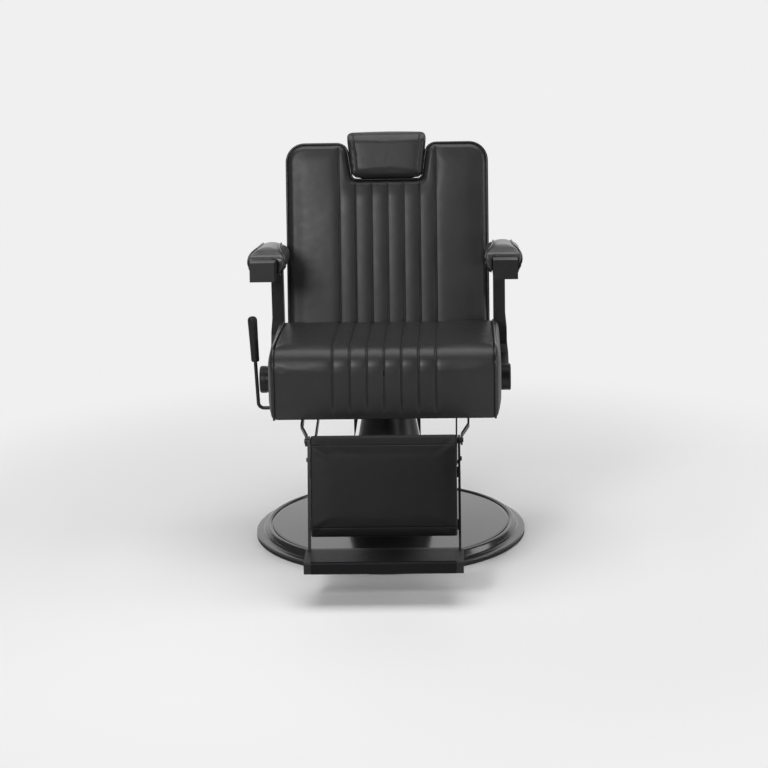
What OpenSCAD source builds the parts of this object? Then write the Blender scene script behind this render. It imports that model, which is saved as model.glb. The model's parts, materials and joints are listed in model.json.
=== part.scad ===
// Hydraulic barber chair. Millimetres, +Z up, the sitter faces -Y.
// The origin is the centre of the base on the floor.

/* [Base and pump] */
// Diameter of the base over its rubber edge
base_d = 700; // [620:10:800]
// Height of the rubber edge under the base cover
rim_h = 9; // [6:1:14]
// Thickness of the pressed base cover
cover_t = 4; // [2:0.5:6]
// Width of the stepped rim outside the groove
rim_w = 40; // [34:1:60]
// Bottom diameter of the conical column skirt
skirt_bottom_d = 242; // [220:2:280]
// Top diameter of the conical column skirt
skirt_top_d = 128; // [112:2:150]
// Height of the top of the column skirt
skirt_top_z = 345; // [330:1:350]
// Diameter of the hydraulic ram
ram_d = 48; // [36:1:60]
// Outer diameter of the pump cylinder
pump_d = 96; // [84:1:104]

/* [Pump pedal] */
// Distance of the pedal pin behind the column axis
pedal_pin_y = 92; // [88:1:94]
// Reach of the pedal tread behind the column axis
pedal_reach = 400; // [380:5:430]
// Width of the pedal tread
tread_w = 76; // [50:2:110]

/* [Seat] */
// Width of the seat between its two piping seams
seat_w = 547; // [520:1:560]
// How far the middle of each side panel bulges past the seam
side_bulge = 14; // [8:1:16]
// Front of the seat, in front of the column axis
seat_front = 290; // [275:1:300]
// Rear of the seat cushion at the board, behind the column axis
seat_rear = 118; // [110:1:119]
// Height of the bottom edge of the seat front and sides
seat_bottom_z = 381; // [378:1:386]
// Height of the seat top just behind the front roll
seat_top_z = 558; // [535:1:580]
// Backward fall of the seat top in degrees
seat_fall = 3.6; // [2:0.1:6]
// Radius of the front roll
roll_r = 52; // [35:1:65]
// Height of the underside of the seat board
board_z = 430; // [429:1:436]
// Thickness of the plywood boards
board_t = 12; // [9:1:15]

/* [Arms] */
// Height of the arm hub axis
hub_z = 413; // [412:1:414]
// Diameter of the hub drum on the arm
hub_d = 68; // [60:1:74]
// Distance of the arm upright behind the column axis
upright_y = 172; // [168:1:180]
// Width of the arm upright across the chair
upright_w = 31; // [24:1:32]
// Depth of the arm bar seen from the side
arm_depth = 38; // [28:1:42]
// Backward fall of the armrests in degrees
arm_fall = 6.5; // [2:0.5:10]
// Width of the armrest box
box_w = 61; // [50:1:66]
// Height of the armrest box
box_h = 48; // [38:1:54]
// Height of the front top edge of the armrest box
box_z = 754; // [735:1:770]
// Front of the armrest box, in front of the column axis
box_front = 165; // [140:1:180]
// Width of the armrest pad
pad_w = 89; // [84:1:94]
// Length of the armrest pad
pad_len = 222; // [200:2:230]

/* [Backrest and headrest] */
// Backward lean of the backrest in degrees
back_lean = 12; // [10:0.5:14]
// Width of the backrest
back_w = 521; // [480:1:530]
// Length of the backrest above the seat line
back_up = 464; // [440:1:520]
// Length of the backrest below the seat line
back_down = 56; // [48:1:58]
// Thickness of the backrest foam
back_foam = 50; // [40:1:60]
// Radius of the top corners of the backrest
back_corner = 45; // [30:1:60]
// Width of the headrest notch at the top
notch_top_w = 207; // [200:1:230]
// Width of the headrest notch at the bottom
notch_low_w = 190; // [180:1:198]
// Depth of the headrest notch
notch_depth = 94; // [85:1:105]
// Height of the headrest cushion
head_h = 117; // [90:1:130]
// Thickness of the headrest cushion
head_t = 72; // [60:1:80]

/* [Leg rest] */
// Distance of the leg rest pivot in front of the column axis
leg_pivot_y = 385; // [378:1:395]
// Height of the leg rest pivot
leg_pivot_z = 356; // [350:1:362]
// Forward lean of the leg rest in degrees
leg_lean = 18; // [14:0.5:20]
// Distance between the inner faces of the two leg bars
leg_gap = 359; // [340:1:362]
// Thickness of the leg bars
leg_bar_t = 6; // [4:0.5:6]
// Depth of the leg bars
leg_bar_d = 25; // [20:1:28]
// Length of the calf pad along the leg bars
calf_len = 248; // [220:1:252]
// Distance of the calf pad face in front of the leg bars
calf_face = 45; // [38:1:55]
// Depth of the footplate from front to back
foot_depth = 100; // [80:1:120]
// Height of the top of the footplate
foot_z = 108; // [100:1:112]
// Height of the front lip of the footplate
foot_lip = 30; // [24:1:34]
// Number of ribs along the footplate tread
foot_ribs = 14; // [6:1:20]

/* [Recline linkage] */
// Distance of the backrest hinge behind the column axis
hinge_y = 178; // [177:1:182]
// Height of the backrest hinge
hinge_z = 415; // [413:1:417]
// Length of both cranks of the parallelogram
crank_r = 55; // [50:1:57]
// Radius of the crank that drives the gas strut
strut_crank_r = 45; // [40:1:50]
// Distance of the links from the middle plane
link_x = 176; // [168:1:176]
// Thickness of the link bars
link_t = 4; // [3:0.5:5]
// Depth of the link bars
link_d = 18; // [14:1:20]
// Diameter of the gas strut cylinder
strut_d = 22; // [18:1:28]

/* [Recline lever] */
// Distance of the lever axis in front of the column axis
lever_y = 140; // [138:1:150]
// Height of the lever axis
lever_z = 375; // [373:1:378]
// Diameter of the lever rod
lever_d = 9; // [7:0.5:10]
// Length of the lever above its axis
lever_len = 238; // [210:1:260]
// Length of the moulded lever grip
grip_len = 116; // [90:1:130]

/* [Hidden] */
$fn = 72;
HULL_FN = 32;
RUN = 0.08;
SOFT = 0.4;

rim_r = base_d / 2;
groove_r = rim_r - rim_w;
cover_z = 30;
plate_z = 12;
flange_z = 24;
skirt_foot_z = cover_z + 6.5;
skirt_t = 2.5;
pump_top_z = skirt_top_z - 6;

board_top = board_z + board_t;
rail_w = 22;
rail_h = 30;
rail_in = 190;
rail_z = board_z - rail_h;
cross_w = 30;
cross_front_y = -115;
cross_rear_y = 105;
plate_t = 8;
guard_x = 84.6;
guard_y = -96;
collar_z = 356;
collar_h = 10;
bearing_t = 6;
spigot_d = 36;
housing_z = collar_z + collar_h + bearing_t;

seat_half = seat_w / 2;
side_face = seat_half + side_bulge;
boss_in = side_face + 2;
boss_len = 23;
boss_out = boss_in + boss_len;
arm_low_x = boss_in + boss_len / 2;
arm_low_w = boss_len;
upright_x = max(seat_half + 17, back_w / 2 + 30);
box_x = upright_x + 12;
box_len = (box_front + upright_y + arm_depth / 2) / cos(arm_fall);
arm_top_z = box_z - (box_front + upright_y - arm_depth / 2) * tan(arm_fall) - box_h / cos(arm_fall);
pad_top = 27;
pad_setback = 92;
pad_shift = 3.5;

seat_line_y = 142;
seat_line_z = 530;
back_board_y = back_foam;
back_cavity_y = back_foam + board_t;
back_cover_y = back_cavity_y + 20;
back_cover_t = 4;
stem_w = 34;
stem_t = 8;
stem_y = back_cavity_y + 5;
notch_floor = back_up - notch_depth;
head_low = notch_floor + 8;
head_front = -10;

leg_in = leg_gap / 2;
leg_out = leg_in + leg_bar_t;
leg_len = (leg_pivot_z - foot_z) / cos(leg_lean) + 18;
hanger_t = 5;
hanger_x = leg_out + 1;
hanger_rear_x = 203.5;
shaft_d = 16;
calf_half = leg_in - 2.5;
calf_top = -14;
calf_board_n = 10;
calf_board_t = 10;
foot_rear = leg_pivot_y + (leg_pivot_z - foot_z) * tan(leg_lean) + 6;
foot_front = foot_rear + foot_depth;
foot_cap_w = 17;
foot_half = leg_out + 5.5;
foot_slab = 14;

hinge = [hinge_y, hinge_z];
pivot = [-leg_pivot_y, leg_pivot_z];
hinge_crank = hinge - [0, crank_r];
pivot_crank = pivot - [0, crank_r];
hinge_plate_in = 180;
hinge_plate_t = 8;
strut_x = -80;
strut_front = [-82, 380];
strut_rear = hinge - [0, strut_crank_r];
strut_vec = strut_rear - strut_front;
strut_len = norm(strut_vec);
strut_tilt = atan2(strut_vec[1], strut_vec[0]);
lever_out_x = 324;
lever_bend = 14;

// ---------------------------------------------------------------- helpers

// Points of an arc around c from angle a0 to a1, both ends included
function arc(c, r, a0, a1, n = 8) =
    [for (i = [0:n]) c + r * [cos(a0 + (a1 - a0) * i / n), sin(a0 + (a1 - a0) * i / n)]];

// Extrudes a (y, z) outline across the chair from x0 to x1
module across(x0, x1) {
    translate([x0, 0, 0])
        rotate([90, 0, 90])
            linear_extrude(x1 - x0) children();
}

// A round bar across the chair at the point p = [y, z]
module x_rod(p, x0, x1, d) {
    translate([x0, p[0], p[1]])
        rotate([0, 90, 0])
            cylinder(d = d, h = x1 - x0);
}

// A flat bar outline with round ends from p to q
module strap(p, q, w) {
    v = q - p;
    translate(p)
        rotate(atan2(v[1], v[0])) {
            circle(d = w);
            translate([norm(v), 0]) circle(d = w);
            translate([0, -w / 2]) square([norm(v), w]);
        }
}

module both() {
    children();
    mirror([1, 0, 0]) children();
}

// A bolt along +X with a round head that starts at the head face
module x_bolt(p, x_head, x_tip, d, head_d, head_h) {
    x_rod(p, x_tip, x_head, d);
    x_rod(p, x_head, x_head + head_h, head_d);
}

// ---------------------------------------------------------------- base

module base_gasket() {
    color("#1a1a1a")
        rotate_extrude()
            polygon([[rim_r - 24, 0], [rim_r - 1.5, 0], [rim_r, 1.5], [rim_r, rim_h - 1],
                [rim_r - 1, rim_h], [rim_r - 24, rim_h]]);
}

module base_plate() {
    color("#3a3a3c")
        difference() {
            cylinder(r = rim_r - 24.2, h = plate_z);
            bolt_circle() translate([0, 0, 2]) cylinder(d = 10, h = plate_z);
        }
}

// Outer surface of the pressed cover from the rim inwards
function cover_line() = concat(
    [[rim_r, rim_h]],
    arc([rim_r - 2.5, rim_h + 1.5], 2.5, 0, 90, 4),
    [[rim_r - 14, rim_h + 5]],
    arc([rim_r - 14, rim_h + 14], 9, 270, 190, 6),
    arc([groove_r + 8, cover_z - 4.5], 7, 15, 140, 8),
    [[groove_r + 1.5, cover_z - 3.5], [groove_r - 1.5, cover_z - 3.5],
        [groove_r - 2.5, cover_z - 0.5], [groove_r - 8, cover_z + 0.5],
        [skirt_bottom_d / 2 - 9, cover_z + 6]]);

module base_cover() {
    color("#222224")
        rotate_extrude()
            polygon(concat(cover_line(), [
                [skirt_bottom_d / 2 - 9, cover_z + 6 - cover_t],
                [groove_r - 8, cover_z + 0.5 - cover_t - 2],
                [groove_r + 6, cover_z - 6.5 - cover_t],
                [rim_r - 20, rim_h + cover_t - 2],
                [rim_r - 20, rim_h]]));
}

module column_skirt() {
    foot_r = skirt_bottom_d / 2;
    top_r = skirt_top_d / 2;
    color("#19191a")
        difference() {
            rotate_extrude()
                polygon([[foot_r, skirt_foot_z], [foot_r, skirt_foot_z + 3],
                    [foot_r - 3, skirt_foot_z + 6], [top_r, skirt_top_z - 3],
                    [top_r - 3, skirt_top_z], [pump_d / 2 + 0.3, skirt_top_z],
                    [pump_d / 2 + 0.3, skirt_top_z - skirt_t],
                    [top_r - 3 - skirt_t, skirt_top_z - skirt_t],
                    [foot_r - 3 - skirt_t, skirt_foot_z + 6], [foot_r - 3 - skirt_t, skirt_foot_z]]);
            translate([-20, 40, 0]) cube([40, 120, skirt_foot_z + 84]);
        }
}

// ---------------------------------------------------------------- pump

plunger_y = pedal_pin_y - 34;
pedal_pin_z = 62;

module bolt_circle() {
    for (a = [45:90:315]) rotate(a) translate([78, 0, 0]) children();
}

module pump_body() {
    color("#4a4a4d")
        difference() {
            union() {
                translate([0, 0, plate_z]) cylinder(d = 190, h = flange_z - plate_z);
                translate([0, 0, plate_z]) cylinder(d = pump_d, h = pump_top_z - plate_z);
                translate([0, plunger_y, 76]) cylinder(d = 34, h = 96);
                translate([-17, 20, 76]) cube([34, plunger_y - 20, 96]);
                both() across(17, 25) {
                    translate([pedal_pin_y - 14, flange_z - 1]) square([28, pedal_pin_z - flange_z + 1]);
                    translate([pedal_pin_y, pedal_pin_z]) circle(d = 28);
                    translate([0, flange_z - 1]) square([pedal_pin_y - 8, 24]);
                }
            }
            translate([0, 0, 45]) cylinder(d = ram_d + 2 * RUN, h = pump_top_z);
            translate([0, plunger_y, 70]) cylinder(d = 14 + 2 * RUN, h = 92);
            x_rod([pedal_pin_y, pedal_pin_z], -30, 30, 12);
            bolt_circle() cylinder(d = 10.4, h = flange_z + 1);
            translate([-17, pump_d / 2 + 4, flange_z]) cube([34, 60, 51.9]);
        }
}

module pump_bolts() {
    color("#77777a")
        bolt_circle() {
            translate([0, 0, 2.2]) cylinder(d = 10, h = flange_z - 2.2);
            translate([0, 0, flange_z]) cylinder(d = 18, h = 7, $fn = 6);
        }
}

module pump_gland() {
    color("#8d8d90")
        translate([0, 0, pump_top_z])
            difference() {
                cylinder(d1 = pump_d - 2, d2 = pump_d - 12, h = 12);
                translate([0, 0, -1]) cylinder(d = ram_d + 2 * RUN, h = 14);
            }
}

module pedal_pin() {
    color("#88888b")
        x_rod([pedal_pin_y, pedal_pin_z], -28, 28, 12);
}

module pedal_arm() {
    pin = [pedal_pin_y, pedal_pin_z];
    knee = pin + [48, 30];
    toe = [pedal_reach, pedal_pin_z + 88];
    color("#1d1d1f")
        difference() {
            union() {
                x_rod(pin, -16.5, 16.5, 27);
                across(-6, 6) {
                    strap(pin, knee, 22);
                    strap(knee, toe, 22);
                    translate([plunger_y, pedal_pin_z - 6]) circle(d = 11.2);
                    translate([plunger_y, pedal_pin_z - 11.6]) square([34, 11]);
                }
                translate([-tread_w / 2 + 4, pedal_reach - 14, toe[1] + 6]) cube([tread_w - 8, 44, 6]);
            }
            x_rod(pin, -20, 20, 12 + 2 * RUN);
        }
}

module pedal_tread() {
    color("#141414")
        translate([0, pedal_reach + 8, pedal_pin_z + 100.2])
            difference() {
                linear_extrude(13)
                    union() {
                        square([tread_w - 16, 52], center = true);
                        square([tread_w, 36], center = true);
                        for (sx = [-1, 1], sy = [-1, 1])
                            translate([sx * (tread_w / 2 - 8), sy * 18]) circle(r = 8);
                    }
                for (i = [-3:3])
                    translate([i * tread_w / 9 - 2, -20, 10]) cube([4, 40, 4]);
            }
}

module pump_plunger() {
    color("#9a9a9d")
        translate([0, plunger_y, pedal_pin_z]) cylinder(d = 14, h = 70);
}

// ---------------------------------------------------------------- ram and swivel

module ram() {
    color("#b9babd") {
        translate([0, 0, 60]) cylinder(d = ram_d, h = collar_z - 60);
        translate([0, 0, collar_z]) cylinder(d = ram_d + 26, h = collar_h);
        translate([0, 0, collar_z + collar_h]) cylinder(d = spigot_d, h = 46);
    }
}

module ram_retainer() {
    color("#88888b")
        translate([0, 0, rail_z + 0.4])
            difference() {
                cylinder(d = spigot_d + 14, h = 6);
                translate([0, 0, -1]) cylinder(d = spigot_d, h = 8);
            }
}

module thrust_bearing() {
    color("#a5a6a8")
        translate([0, 0, collar_z + collar_h + 0.1])
            difference() {
                cylinder(d = ram_d + 24, h = bearing_t - 0.1);
                translate([0, 0, -1]) cylinder(d = spigot_d + 2 * RUN + 1, h = 9);
            }
}

module swivel_housing() {
    color("#2b2b2d")
        translate([0, 0, housing_z])
            difference() {
                union() {
                    cylinder(d = 82, h = rail_z - housing_z);
                    cylinder(d = 112, h = 8);
                }
                translate([0, 0, -1]) cylinder(d = spigot_d + 2 * RUN, h = 60);
            }
}

// Tapered leg that guards the column's front, welded under the saddle plate
module saddle_leg() {
    translate([0, guard_y, 0])
        rotate([90, 0, 0])
            linear_extrude(12)
                polygon([[guard_x - 20.3, rail_z - plate_t + 0.5], [guard_x, rail_z - plate_t + 0.5],
                    [guard_x, skirt_top_z - 58], [guard_x - 1.6, skirt_top_z - 58]]);
}

// Saddle plate under the seat frame, with the two lugs of the gas strut
module top_plate() {
    color("#2a2a2c")
        difference() {
            union() {
                translate([-130, cross_front_y - cross_w / 2, rail_z - plate_t])
                    cube([260, cross_rear_y - cross_front_y + cross_w, plate_t]);
                for (x = [strut_x - 14, strut_x + 8])
                    across(x, x + 6) {
                        translate(strut_front) circle(d = 18);
                        translate([strut_front[0] - 9, strut_front[1]]) square([18, rail_z - strut_front[1]]);
                    }
                both() saddle_leg();
            }
            translate([0, 0, rail_z - plate_t - 1]) cylinder(d = 82.4, h = plate_t + 2);
            x_rod(strut_front, strut_x - 15, strut_x + 15, 8);
            plate_bolt_places() translate([0, 0, rail_z - plate_t - 1]) cylinder(d = 10.4, h = plate_t + 2);
        }
}

module plate_bolt_places() {
    for (sx = [-1, 1], y = [cross_front_y, cross_rear_y]) translate([sx * 115, y, 0]) children();
}

module top_plate_bolts() {
    color("#77777a")
        plate_bolt_places() {
            translate([0, 0, rail_z - plate_t]) cylinder(d = 10, h = plate_t + 18);
            translate([0, 0, rail_z - plate_t - 7]) cylinder(d = 18, h = 7, $fn = 6);
        }
}

// ---------------------------------------------------------------- seat frame

module seat_rail() {
    color("#242426")
        difference() {
            translate([rail_in, -232, rail_z])
                difference() {
                    cube([rail_w, hinge_y + 250, rail_h]);
                    translate([3, -1, 3]) cube([rail_w - 6, 232 - 30, rail_h - 6]);
                }
            x_rod(hinge, rail_in - 1, rail_in + rail_w + 1, 14);
            hub_bolt_places() x_rod([0, 0], rail_in - 1, rail_in + rail_w + 1, 8.4);
        }
}

module seat_rails() {
    both() seat_rail();
}

module cross_bar(y) {
    color("#242426")
        difference() {
            translate([-rail_in, y - cross_w / 2, rail_z]) cube([2 * rail_in, cross_w, rail_h]);
            plate_bolt_places() translate([0, 0, rail_z - 1]) cylinder(d = 10.4, h = 19.4);
        }
}

module cross_front() {
    cross_bar(cross_front_y);
}

module cross_rear() {
    cross_bar(cross_rear_y);
}

module seat_board() {
    color("#c8a878")
        translate([-seat_half + 8, -seat_front + 52, board_z + 0.1])
            cube([seat_w - 16, seat_rear + seat_front - 60, board_t - 0.1]);
}

// ---------------------------------------------------------------- seat upholstery

// Height of the seat top at a distance y from the column axis
function seat_top(y) = seat_top_z - (y + seat_front - roll_r) * tan(seat_fall);

// Side outline of the seat with its front roll; inset shrinks it evenly
function seat_outline(inset = 0) = concat(
    [[-seat_front + inset, seat_bottom_z + inset + 6]],
    arc([-seat_front + roll_r, seat_top_z - roll_r], roll_r - inset, 180, 90 - seat_fall, 12),
    arc([seat_rear + 2, seat_top(seat_rear) - 14], 14 - inset / 3, 90 - seat_fall, 0, 5),
    [[seat_rear - inset, board_top + inset], [seat_rear - inset, seat_bottom_z + inset + 6]]);

module seat_cushion() {
    y0 = -seat_front;
    color("#1c1c1d")
        across(-seat_half, seat_half)
            difference() {
                polygon(concat([[y0 + 6, seat_bottom_z], [y0, seat_bottom_z + 6]],
                    arc([y0 + roll_r, seat_top_z - roll_r], roll_r, 180, 90 - seat_fall, 12),
                    arc([seat_rear + 4, seat_top(seat_rear) - 13], 12, 90 - seat_fall, 0, 5),
                    [[seat_rear, board_top], [y0 + 45, board_top], [y0 + 45, seat_bottom_z]]));
            }
}

module side_panel() {
    color("#1c1c1d")
        difference() {
            hull() {
                across(seat_half + SOFT, seat_half + 5) polygon(seat_outline());
                across(seat_half + side_bulge * 0.7, seat_half + side_bulge * 0.7 + 0.1)
                    polygon(seat_outline(14));
                across(side_face - 0.1, side_face) polygon(seat_outline(34));
            }
            x_rod([0, hub_z], seat_half - 5, side_face + 5, hub_d - 6);
        }
}

module seat_sides() {
    both() side_panel();
}

// ---------------------------------------------------------------- arms

module hub_bolt_places() {
    for (dy = [-18, 18]) translate([0, dy, hub_z]) children();
}

module hub_spacers() {
    color("#2f2f31")
        both()
            difference() {
                union() {
                    translate([rail_in + rail_w, -30, hub_z - 29]) cube([seat_half - rail_in - rail_w + 0.4, 60, 45.8]);
                    x_rod([0, hub_z], seat_half + 0.3, boss_in, hub_d - 8);
                }
                hub_bolt_places() x_rod([0, 0], rail_in, boss_in + 1, 8.4);
            }
}

// A rounded segment of the arm bar between p and q, both [y, z, x centre, x width]
module arm_step(p, q) {
    hull() {
        x_rod([p[0], p[1]], p[2] - p[3] / 2, p[2] + p[3] / 2, arm_depth, $fn = HULL_FN);
        x_rod([q[0], q[1]], q[2] - q[3] / 2, q[2] + q[3] / 2, arm_depth, $fn = HULL_FN);
    }
}

module arm_right() {
    path = [[0, hub_z, arm_low_x, arm_low_w],
        [upright_y - 62, hub_z + 19, arm_low_x, arm_low_w],
        [upright_y - 22, hub_z + 40, arm_low_x - 3, arm_low_w + 1],
        [upright_y - 4, hub_z + 76, upright_x + 5, upright_w - 2],
        [upright_y, hub_z + 116, upright_x, upright_w],
        [upright_y, arm_top_z - 30, upright_x, upright_w]];
    color("#202022")
        difference() {
            union() {
                for (i = [0:4]) arm_step(path[i], path[i + 1]);
                across(upright_x - upright_w / 2, upright_x + upright_w / 2)
                    translate([upright_y - arm_depth / 2, arm_top_z - 30])
                        polygon([[0, 0], [arm_depth, 0], [arm_depth, 30 - arm_depth * tan(arm_fall)], [0, 30]]);
                x_rod([0, hub_z], boss_in, boss_out, hub_d);
            }
            hub_bolt_places() {
                x_rod([0, 0], boss_in - 1, boss_out + 1, 8.4);
                x_rod([0, 0], boss_out - 7, boss_out + 1, 15);
            }
        }
}

module arm_left() {
    mirror([1, 0, 0]) arm_right();
}

module hub_bolts() {
    color("#77777a")
        both()
            hub_bolt_places() x_bolt([0, 0], boss_out - 7, rail_in + 1, 8, 13, 6);
}

// Turned cap on the outside of each hub; the lever side has the deeper one
module hub_cap(h) {
    r = hub_d / 2 + 1;
    translate([boss_out, 0, hub_z])
        rotate([0, 90, 0])
            rotate_extrude()
                polygon([[0, 0.1], [r, 0.1], [r, h - 3], [r - 3, h], [0, h]]);
}

module hub_caps() {
    color("#161617") {
        hub_cap(4);
        mirror([1, 0, 0]) hub_cap(17);
    }
}

// Places children in the armrest's own frame: y backwards from its front, z up from its top
module armrest() {
    translate([0, -box_front, box_z])
        rotate([-arm_fall, 0, 0]) children();
}

module arm_box() {
    color("#1d1d1e")
        armrest()
            translate([box_x - box_w / 2, 4, -box_h])
                difference() {
                    cube([box_w, box_len - 4, box_h]);
                    translate([3, -1, 3]) cube([box_w - 6, box_len - 8, box_h - 6]);
                }
}

module arm_boxes() {
    both() arm_box();
}

module box_caps() {
    color("#2c2c2e")
        both()
            armrest() {
                translate([box_x - box_w / 2, 0, -box_h]) cube([box_w, 4, box_h]);
                translate([box_x - box_w / 2 + 3.3, 3, 3.3 - box_h]) cube([box_w - 6.6, 17, box_h - 6.6]);
            }
}

// Domed pad that wraps over the box, further on the inner side; its front end is rounded
module arm_pad_right() {
    w = pad_w / 2;
    low = 4 - box_h;
    half = box_w / 2;
    y0 = pad_setback;
    y1 = pad_setback + pad_len;
    color("#1b1b1c")
        armrest()
            difference() {
                intersection() {
                    translate([box_x - pad_shift, y1, 0])
                        rotate([90, 0, 0])
                            linear_extrude(pad_len)
                                polygon(concat([[half + pad_shift + 2.5, low]],
                                    arc([w - 14, low + 22], 14, -45, 0, 4),
                                    arc([w - 24, pad_top - 30], 24, 0, 62, 6),
                                    arc([0, pad_top - 64], 64, 80, 100, 4),
                                    arc([24 - w, pad_top - 30], 24, 118, 180, 6),
                                    arc([30 - w, low + 32], 30, 180, 235, 5),
                                    [[pad_shift - half - 2, low]]));
                    across(box_x - 60, box_x + 60)
                        polygon(concat([[y0 + 14, low - 1], [y0 + 2, low + 12]],
                            arc([y0 + 24, -6], 24, 176, 140, 3),
                            arc([y0 + 60, pad_top - 60], 60, 128, 90, 5),
                            arc([y1 - 20, pad_top - 20], 20, 90, 0, 5), [[y1, low - 1]]));
                }
                translate([box_x - box_w / 2 - SOFT, y0 - 1, -box_h - 1])
                    cube([box_w + 2 * SOFT, pad_len + 2, box_h + 1 + SOFT]);
            }
}

module arm_pad_left() {
    mirror([1, 0, 0]) arm_pad_right();
}

// ---------------------------------------------------------------- backrest

// Places children in the backrest's own frame: z along it, y backwards
module leaned() {
    translate([0, seat_line_y, seat_line_z])
        rotate([-back_lean, 0, 0]) children();
}

// Right half of the backrest outline, shrunk by inset, from the notch floor round to the bottom
function back_half(inset = 0) =
    let (w = back_w / 2 - inset, up = back_up - inset, low = -back_down + inset,
        nt = notch_top_w / 2 + inset, nl = notch_low_w / 2 + inset, nf = notch_floor - inset,
        rc = back_corner - inset, rs = max(26 - inset, 4), rn = 12)
    concat(
        arc([nl - rn, nf + rn], rn, 270, 355, 5),
        arc([nt + rs, up - rs], rs, 178, 90, 6),
        arc([w - rc, up - rc], rc, 90, 0, 8),
        arc([w - 12, low + 12], 12, 0, -90, 4));

module back_outline(inset = 0) {
    half = back_half(inset);
    n = len(half);
    polygon(concat(half, [for (i = [n - 1:-1:0]) [-half[i][0], half[i][1]]]));
}

// Extrudes a backrest outline from y0 to y1 behind its front face
module back_layer(y0, y1) {
    translate([0, y1, 0])
        rotate([90, 0, 0])
            linear_extrude(y1 - y0) children();
}

module back_cushion() {
    color("#1c1c1d")
        leaned() back_layer(0, back_board_y) back_outline();
}

module back_board() {
    color("#c8a878")
        leaned()
            difference() {
                back_layer(back_board_y + 0.1, back_cavity_y) back_outline(7);
                back_screw_places() rotate([90, 0, 0]) cylinder(d = 8, h = 60, center = true);
            }
}

module back_screw_places() {
    for (sx = [-1, 1], h = [20, 160]) translate([sx * (hinge_plate_in + 4), back_board_y + 14, h]) children();
}

module back_cover() {
    color("#1a1a1b")
        leaned()
            difference() {
                back_layer(back_cavity_y + 0.1, back_cover_y + back_cover_t) back_outline(3);
                back_layer(back_cavity_y - 1, back_cover_y) back_outline(15);
                translate([-stem_w / 2 - 8, back_cavity_y - 1, notch_floor - 40])
                    cube([stem_w + 16, 21, 90]);
                both() translate([hinge_plate_in - 12, back_cavity_y - 1, -back_down - 20])
                    cube([32, 30, 44]);
            }
}

// One steel side of the backrest frame: upright, hinge eye and crank
module back_side() {
    foot = hinge + [26, 44];
    color("#2c2c2e")
        difference() {
            union() {
                leaned()
                    translate([hinge_plate_in - 6, back_cavity_y + 0.1, -back_down - 6])
                        cube([20, 7.9, 320]);
                across(hinge_plate_in, hinge_plate_in + hinge_plate_t) {
                    strap(hinge, hinge_crank, 26);
                    strap(hinge, foot, 20);
                    strap(foot, foot + [4, 12], 20);
                }
            }
            x_rod(hinge, hinge_plate_in - 20, hinge_plate_in + 20, 14 + 2 * RUN);
            x_rod(hinge_crank, hinge_plate_in - 2, hinge_plate_in + 10, 10);
        }
}

module back_sides() {
    both() back_side();
}

// Torsion tube between the two sides, with the crank of the gas strut
module back_tube() {
    color("#2c2c2e")
        difference() {
            union() {
                x_rod(hinge, -hinge_plate_in, hinge_plate_in, 26);
                across(strut_x - 12, strut_x - 6) strap(hinge, strut_rear, 22);
                x_rod(strut_rear, strut_x - 12, strut_x + 8, 10);
            }
            both() x_rod(hinge, hinge_plate_in - 20, hinge_plate_in + 1, 14 + 2 * RUN);
        }
}

module hinge_pins() {
    color("#88888b")
        both() x_bolt(hinge, rail_in + rail_w, hinge_plate_in - 8, 14, 22, 6);
}

module crank_pins() {
    color("#88888b")
        both() {
            x_rod(hinge_crank, link_x - link_t, hinge_plate_in + hinge_plate_t, 10);
            x_rod(hinge_crank, link_x - link_t - 3, link_x - link_t / 2 - 0.5, 16);
        }
}

// ---------------------------------------------------------------- headrest

module head_guide() {
    color("#4b4b4e")
        leaned()
            difference() {
                translate([-stem_w / 2 - 5, back_cavity_y + 0.1, notch_floor - 190])
                    cube([stem_w + 10, 17.8, 150]);
                translate([-stem_w / 2 - 0.3, stem_y - 0.3, notch_floor - 191])
                    cube([stem_w + 0.6, stem_t + 0.6, 152]);
            }
}

module head_stem() {
    color("#6d6e70")
        leaned() {
            translate([-stem_w / 2, stem_y, notch_floor - 185])
                cube([stem_w, stem_t, 185 + 60]);
            translate([-stem_w / 2 - 15, stem_y - 5, head_low + 8])
                cube([stem_w + 30, 5.1, 60]);
        }
}

module head_cushion() {
    low = notch_low_w / 2 - 5;
    top = notch_top_w / 2 - 2;
    depth = stem_y - 5.2 - head_front;
    color("#1b1b1c")
        leaned()
            intersection() {
                back_layer(head_front, head_front + depth)
                    polygon(concat(
                        arc([low - 10, head_low + 10], 10, 270, 355, 4),
                        arc([top - 10, head_low + head_h - 10], 10, 5, 90, 4),
                        arc([-top + 10, head_low + head_h - 10], 10, 90, 175, 4),
                        arc([-low + 10, head_low + 10], 10, 185, 270, 4)));
                across(-150, 150)
                    polygon(concat(
                        arc([head_front + 16, head_low + 16], 16, 180, 270, 5),
                        [[head_front + depth, head_low]],
                        arc([head_front + depth - 20, head_low + head_h - 20], 20, 0, 90, 5),
                        arc([head_front + 26, head_low + head_h - 26], 26, 90, 180, 6)));
            }
}

// ---------------------------------------------------------------- recline linkage

module link_bar(x) {
    color("#232325")
        difference() {
            across(x - link_t / 2, x + link_t / 2) strap(pivot_crank, hinge_crank, link_d);
            x_rod(pivot_crank, x - link_t, x + link_t, 10 + 2 * RUN);
            x_rod(hinge_crank, x - link_t, x + link_t, 10 + 2 * RUN);
        }
}

module link_right() {
    link_bar(link_x);
}

module link_left() {
    link_bar(-link_x);
}

// Places children in the strut's own frame: x along it from the front eye
module on_strut() {
    translate([strut_x, strut_front[0], strut_front[1]])
        rotate([strut_tilt, 0, 0])
            rotate([0, 0, 90]) children();
}

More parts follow.
